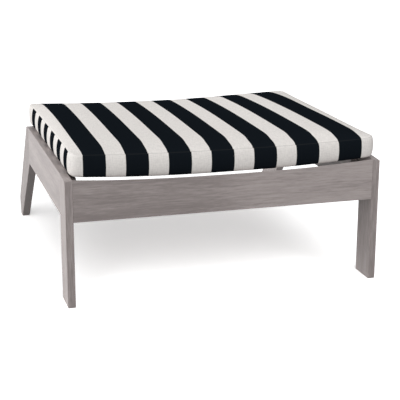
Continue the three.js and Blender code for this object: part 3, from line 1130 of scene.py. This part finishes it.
        for corner in (low, high):
            for normal in (Vector((1, 0, 0)), Vector((0, 0, 1))):
                faces = [face for face in form.faces if near(face, self.slot_margin)]
                parts = dict.fromkeys(part for face in faces for part in (face, *face.edges, *face.verts))
                bmesh.ops.bisect_plane(form, geom=list(parts), dist=self.slot_snap, plane_co=corner,
                                       plane_no=normal)
        form.normal_update()
        slot = [face for face in form.faces if near(face, 0.0)]
        bmesh.ops.inset_region(form, faces=slot, thickness=self.lip / 2, depth=0.0)
        bmesh.ops.inset_region(form, faces=slot, thickness=self.lip / 4, depth=-self.slot_depth)

    def cover(self) -> bpy.types.Object:
        """Makes the cover.

        Returns:
            The piece.
        """
        cover = self.sewn()
        self.swell(cover)
        form = bmesh.new()
        form.from_mesh(cover.data)
        self.finish_seams(form)
        self.open_slot(form)
        form.to_mesh(cover.data)
        form.free()
        cover.data.shade_smooth()
        smooth = cover.modifiers.new("smooth", "SUBSURF")
        smooth.levels = smooth.render_levels = 1
        return cover

    def block(self) -> bpy.types.Object:
        """Makes the foam, a little inside the cover.

        Returns:
            The piece.
        """
        form = self.blank(self.foam_cells)
        for vert in form.verts:
            vert.co = self.middle + (self.moulded(*vert.co) - self.middle) * Vector(self.foam_scale)
        bmesh.ops.recalc_face_normals(form, faces=form.faces)
        block = placed("foam_block", form, self.foam.material())
        block.data.shade_smooth()
        return block

    def build(self) -> list[str]:
        """Makes the cover and its foam.

        Returns:
            The names of the pieces.
        """
        made = {"cushion_cover": (self.cover(), "striped_cloth"), "foam_core": (self.block(), "foam")}
        for node, (piece, slot) in made.items():
            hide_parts(node)
            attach(piece, "cushion")
        return [piece.name for piece, _ in made.values()]


@dataclass
class ZipFastener:
    """The zip in the rear boxing, with its pull tab and the stitches that hold its tape."""

    tape_finish: CoilZip = CoilZip()
    slider_finish: BrushedSteel = BrushedSteel()
    thread_finish: SewingThread = SewingThread()
    stitch_pitch: float = 0.004
    stitch_half: Place = (0.0014, 0.0003, 0.0003)
    stitch_sides: int = 6
    stitch_rings: int = 4
    stitch_off_tape: float = 0.0026
    stitch_below_tape: float = 0.0007
    tab_size: Place = (0.0056, 0.0011, 0.018)
    tab_corner: float = 0.0016
    tab_steps: int = 4
    tab_clearance: float = 0.0004
    hole_radius: float = 0.0012
    bail_radius: float = 0.0019
    bail_steps: int = 20
    wire_radius: float = 0.0004
    wire_sides: int = 8

    def stitches(self) -> bpy.types.Object:
        """Sews a row of stitches above and below the slot.

        Returns:
            The piece.
        """
        low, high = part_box("zip_tape")
        form = bmesh.new()
        count = int((high.x - low.x) / self.stitch_pitch)
        y = high.y - self.stitch_below_tape
        size = Matrix.Diagonal((*self.stitch_half, 1.0))
        for z in (low.z - self.stitch_off_tape, high.z + self.stitch_off_tape):
            for number in range(count + 1):
                place = Matrix.Translation((low.x + self.stitch_pitch * number, y, z))
                bmesh.ops.create_uvsphere(form, u_segments=self.stitch_sides, v_segments=self.stitch_rings,
                                          radius=1.0, matrix=place @ size)
        piece = placed("zip_stitches", form, self.thread_finish.material())
        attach(piece, "cushion")
        return piece

    def pull(self, steel: bpy.types.Material) -> bpy.types.Object:
        """Hangs the pull tab on the slider by a wire bail.

        Args:
            steel: Its finish.

        Returns:
            The piece.
        """
        low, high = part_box("zip_slider")
        hook = Vector(((low.x + high.x) / 2, high.y, (low.z + high.z) / 2))
        form = bmesh.new()
        bmesh.ops.create_circle(form, segments=self.wire_sides, radius=self.wire_radius,
                                matrix=Matrix.Translation((self.bail_radius, 0, 0)))
        bmesh.ops.spin(form, geom=form.verts[:] + form.edges[:], cent=(0, 0, 0), axis=(0, 1, 0),
                       angle=2 * math.pi, steps=self.bail_steps, use_merge=True)
        turn = Matrix.Translation(hook) @ Matrix.Rotation(math.pi / 2, 4, "Z")
        bmesh.ops.transform(form, matrix=turn, verts=form.verts)
        width, thick, height = self.tab_size
        hang = hook + Vector((0, self.tab_clearance + self.bail_radius, self.hole_radius - height / 2))
        size = Matrix.Diagonal((width, thick, height, 1.0))
        tab = bmesh.ops.create_cube(form, size=1.0, matrix=Matrix.Translation(hang) @ size)["verts"]
        edges = dict.fromkeys(edge for vert in tab for edge in vert.link_edges)
        corners = [edge for edge in edges if abs((edge.verts[0].co - edge.verts[1].co).y) > thick / 2]
        bmesh.ops.bevel(form, geom=corners, affect="EDGES", offset=self.tab_corner, segments=self.tab_steps,
                        profile=0.5, material=-1)
        bmesh.ops.recalc_face_normals(form, faces=form.faces)
        piece = placed("zip_pull", form, steel)
        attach(piece, "zip_slider")
        return piece

    def build(self) -> list[str]:
        """Dresses the tape and the slider, and adds the tab and the stitches.

        Returns:
            The names of the pieces.
        """
        steel = self.slider_finish.material()
        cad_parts["zip_tape"].material_slots[0].material = self.tape_finish.material()
        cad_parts["zip_slider"].material_slots[0].material = steel
        return ["zip_tape", "zip_slider", self.pull(steel).name, self.stitches().name]


@dataclass(frozen=True)
class Lamp:
    """One distant soft lamp: the way its light goes, its spread in degrees and its power.

    Its light leaves out the objects that it spares.
    """

    name: str
    path: Place
    angle: float
    power: float
    spares: tuple[str, ...] = ()


@dataclass
class Studio:
    """A plain white studio: pale floor, soft lamps and the camera.

    The camera's angles are in degrees. Its focal length and the picture's width are in pixels of the
    photograph, and give the lens with the sensor's width, in millimetres.
    """

    eye: Place = (-0.8147, -2.9658, 1.0018)
    heading: float = 16.304
    pitch: float = 15.935
    roll: float = 0.176
    focal_pixels: float = 1137.88
    picture_pixels: float = 400.0
    sensor_width: float = 36.0
    ambient: float = 0.12
    lamps: tuple[Lamp, ...] = (
        Lamp("overhead", (0.1, 1.3, -1.0), 60, 1.78),
        Lamp("top_fill", (0.0, 0.1, -1.0), 40, 0.58, ("floor",)),
        Lamp("side_fill", (1.0, -0.4, -0.3), 40, 2.45, ("floor",)),
        Lamp("board_fill", (1.0, 0.4, -0.1), 40, 1.2, ("floor", "striped_cover")),
    )
    floor_reach: float = 40.0
    floor_drop: float = 0.0003
    floor_plain: float = 0.8
    floor_lift: float = 0.35
    floor_gain: float = 2.5

    def seen(self, tree: ShaderTree) -> Socket:
        """1 for rays that show the background: from the camera, glossy or transmitted."""
        camera, glossy, passing = (tree.node("ShaderNodeLightPath", output=f"Is {kind} Ray")
                                   for kind in ("Camera", "Glossy", "Transmission"))
        return tree.maths("MINIMUM", camera + glossy + passing, 1.0)

    def camera(self) -> None:
        """Sets the camera up at the photograph's place and angle."""
        heading, pitch, roll = (math.radians(v) for v in (self.heading, self.pitch, self.roll))
        forward = Vector((math.sin(heading) * math.cos(pitch), math.cos(heading) * math.cos(pitch),
                          -math.sin(pitch)))
        level = Vector((math.cos(heading), -math.sin(heading), 0))
        upward = level.cross(forward)
        right = level * math.cos(roll) + upward * math.sin(roll)
        upward = upward * math.cos(roll) - level * math.sin(roll)
        data = bpy.data.cameras.new("camera")
        data.sensor_width = self.sensor_width
        data.lens = self.sensor_width * (self.focal_pixels / self.picture_pixels)
        camera = bpy.data.objects.new("camera", data)
        turn = Matrix((right, upward, -forward)).transposed().to_4x4()
        camera.matrix_world = Matrix.Translation(self.eye) @ turn
        bpy.context.scene.collection.objects.link(camera)
        bpy.context.scene.camera = camera

    def light(self, lamp: Lamp) -> None:
        """Adds a lamp, and keeps its light off the objects that it spares.

        Args:
            lamp: The lamp.
        """
        data = bpy.data.lights.new(lamp.name, "SUN")
        data.energy = lamp.power
        data.angle = math.radians(lamp.angle)
        light = bpy.data.objects.new(lamp.name, data)
        light.rotation_euler = Vector(lamp.path).to_track_quat("-Z", "Y").to_euler()
        bpy.context.scene.collection.objects.link(light)
        if lamp.spares:
            spared = bpy.data.collections.new(f"spared_by_{lamp.name}")
            for name in lamp.spares:
                spared.objects.link(bpy.data.objects[name])
            for item in spared.collection_objects:
                item.light_linking.link_state = "EXCLUDE"
            light.light_linking.receiver_collection = spared

    def world(self) -> None:
        """A white surround with an even light."""
        world = bpy.data.worlds.new("studio")
        world.use_nodes = True
        bpy.context.scene.world = world
        tree = ShaderTree(world.node_tree)
        strength = self.seen(tree) * (1 - self.ambient) + self.ambient
        light = tree.node("ShaderNodeBackground", {}, {"Color": (1, 1, 1, 1), "Strength": strength})
        tree.node("ShaderNodeOutputWorld", {}, {"Surface": light})

    def floor(self) -> None:
        """A plain pale floor, shown white with the object's shadow on it."""
        sheet = bmesh.new()
        bmesh.ops.create_grid(sheet, x_segments=1, y_segments=1, size=self.floor_reach,
                              matrix=Matrix.Translation((0, 0, -self.floor_drop)))
        material, tree = new_material("pale_floor")
        plain = tree.node("ShaderNodeBsdfDiffuse", {}, {"Color": (self.floor_plain,) * 3 + (1,)})
        bright = tree.node("ShaderNodeBsdfDiffuse", {}, {"Color": (self.floor_gain,) * 3 + (1,)})
        glow = tree.node("ShaderNodeEmission", {}, {"Color": (1, 1, 1, 1), "Strength": self.floor_lift})
        shown = tree.node("ShaderNodeAddShader", {}, {0: bright, 1: glow})
        surface = tree.node("ShaderNodeMixShader", {}, {0: self.seen(tree), 1: plain, 2: shown})
        tree.node("ShaderNodeOutputMaterial", {}, {"Surface": surface})
        placed("floor", sheet, material)

    def build(self) -> list[str]:
        """Sets the studio up.

        Returns:
            The names of its things.
        """
        bpy.context.scene.view_settings.view_transform = "Standard"
        self.camera()
        self.floor()
        for lamp in self.lamps:
            self.light(lamp)
        self.world()
        return ["camera", "floor", "world", *(lamp.name for lamp in self.lamps)]


def main() -> None:
    """Dresses the frame, the cushion and the zip, and sets the studio up."""
    logging.basicConfig(level=logging.INFO, format="%(message)s")
    for assembly in (BoardFrame(), Fastenings(), BoxCushion(), ZipFastener(), Studio()):
        for piece in assembly.build():
            log.info("%s: %s", type(assembly).__name__, piece)


if __name__ == "__main__":
    main()
